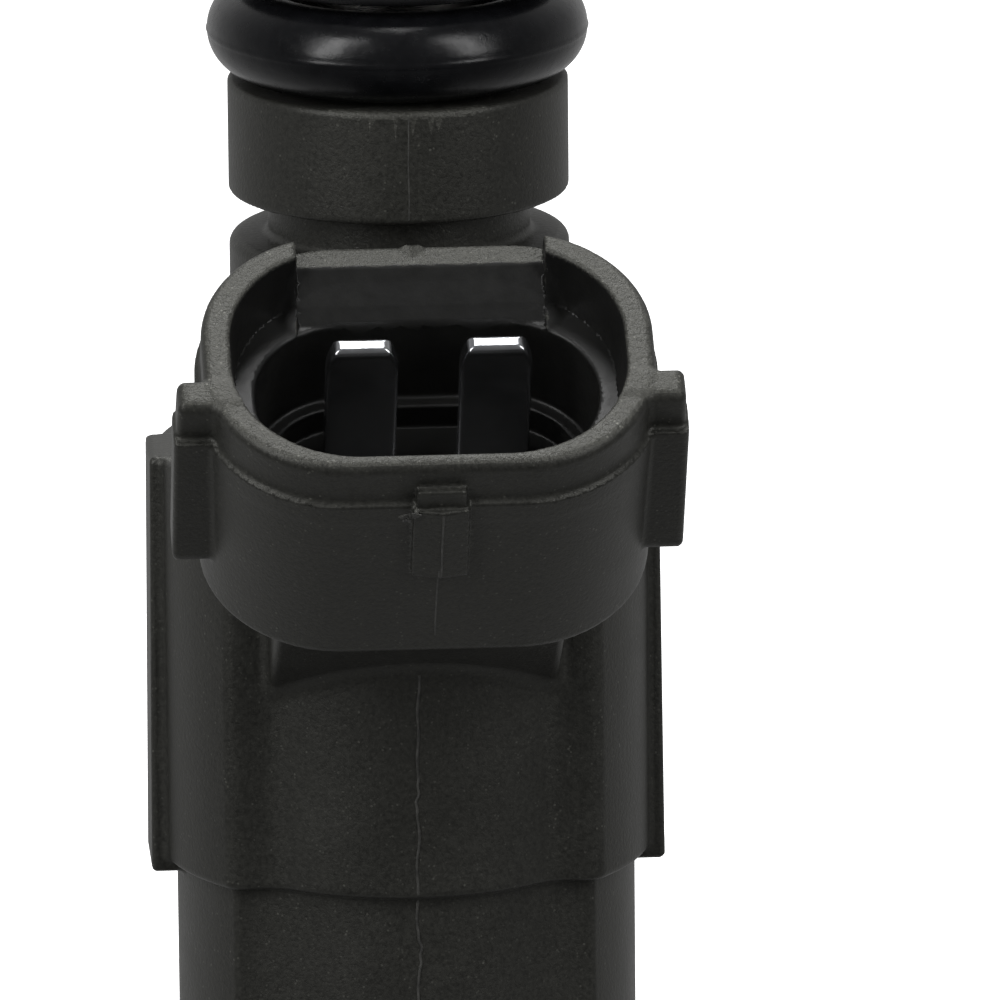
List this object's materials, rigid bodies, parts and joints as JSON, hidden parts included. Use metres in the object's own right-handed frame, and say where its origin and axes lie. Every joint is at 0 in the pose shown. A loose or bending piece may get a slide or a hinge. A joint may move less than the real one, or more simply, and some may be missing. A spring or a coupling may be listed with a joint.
{
  "type": "fuel injector",
  "caption": "Top-feed solenoid fuel injector with O-ring seals at both ends, a ribbed moulded body and a leaning two-blade connector socket.",
  "frame": {"origin": "centre of the tip face of the nozzle cap, on the injector's axis", "axes": "+Z along the injector's axis from the tip to the fuel inlet; the connector socket leans out towards -Y; the object is symmetric about the plane X = 0"},
  "size_m": [0.0198, 0.031, 0.0712],
  "materials": {
    "moulded_nylon": "matt black glass-filled nylon, finely speckled",
    "cap_plastic": "glossy black",
    "seal_rubber": "oiled black rubber",
    "turned_steel": "fine turned",
    "housing_steel": "zinc-nickel plated",
    "spring_steel": "polished",
    "tinned_blade": "tinned, satin",
    "filter_brass": "drawn",
    "copper_wire": "enamelled copper",
    "natural_nylon": "unpigmented nylon"
  },
  "bodies": {
    "injector": {"overmold_body": "moulded_nylon", "retainer_cap": "cap_plastic", "rail_o_ring": "seal_rubber", "inlet_core": "turned_steel", "filter_ring": "filter_brass", "filter_frame": "natural_nylon", "filter_mesh": "natural_nylon", "adjusting_tube": "turned_steel", "return_spring": "spring_steel", "ball_guide": "turned_steel", "valve_seat": "turned_steel", "orifice_plate": "turned_steel", "nonmagnetic_ring": "turned_steel", "valve_body": "turned_steel", "coil_bobbin": "natural_nylon", "coil_winding": "copper_wire", "upper_bobbin_seal": "seal_rubber", "lower_bobbin_seal": "seal_rubber", "solenoid_housing": "housing_steel", "yoke_cap": "housing_steel", "terminal_left": "tinned_blade", "terminal_right": "tinned_blade", "lower_backup_ring": "natural_nylon", "lower_o_ring": "seal_rubber", "nozzle_cap": "cap_plastic"},
    "needle": {"armature": "turned_steel", "needle_tube": "turned_steel", "valve_ball": "spring_steel"}
  },
  "joints": [
    {"name": "needle_lift", "type": "slide", "parent": "injector", "child": "needle", "axis": [0, 0, 1], "range_m": [0, 0.0001], "stiffness_N_per_m": 1500, "springref_m": -0.002, "deforming": ["return_spring"]}
  ]
}
